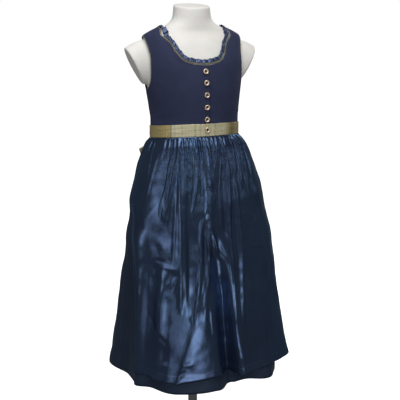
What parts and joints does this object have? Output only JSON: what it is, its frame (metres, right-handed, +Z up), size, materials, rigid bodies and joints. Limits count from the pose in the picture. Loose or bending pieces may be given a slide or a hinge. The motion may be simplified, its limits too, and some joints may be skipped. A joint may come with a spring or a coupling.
{
  "type": "child's dirndl dress with apron on a dress form stand",
  "caption": "Sleeveless bodice with buttoned front, gathered skirt and gathered apron tied with a ribbon bow at the back, on a torso form with pole and round base.",
  "frame": {"origin": "on the floor, in the middle of the round base plate, on the pole's axis", "axes": "+Z up along the pole, the wearer faces -Y, the wearer's left is +X"},
  "size_m": [0.4794, 0.3655, 1.1663],
  "materials": {
    "bodice_wool": "matte navy wool-like cloth",
    "skirt_cotton": "soft dark navy cloth",
    "apron_satin": "shiny dark blue satin",
    "ribbon_satin": "olive gold satin ribbon",
    "piping_cord": "olive gold corded piping",
    "button_brass": "old rose brass, rolled rim",
    "form_shell": "off-white smooth shell",
    "stand_chrome": "polished"
  },
  "bodies": {
    "root": {"bodice_front_right": "bodice_wool", "bodice_front_left": "bodice_wool", "bodice_back": "bodice_wool", "neck_piping": "piping_cord", "armhole_piping_right": "piping_cord", "armhole_piping_left": "piping_cord", "neck_ruche": "apron_satin", "button_1": "button_brass", "button_2": "button_brass", "button_3": "button_brass", "button_4": "button_brass", "button_5": "button_brass", "band_button": "button_brass", "skirt_front": "skirt_cotton", "skirt_back": "skirt_cotton", "apron": "apron_satin", "band_front": "ribbon_satin", "tie_right": "ribbon_satin", "tie_left": "ribbon_satin", "bow_knot": "ribbon_satin", "bow_loop_right": "ribbon_satin", "bow_loop_left": "ribbon_satin", "bow_tail_right": "ribbon_satin", "bow_tail_left": "ribbon_satin", "form_torso": "form_shell", "stand_pole": "stand_chrome", "stand_collar": "stand_chrome", "stand_base": "stand_chrome"}
  },
  "joints": []
}
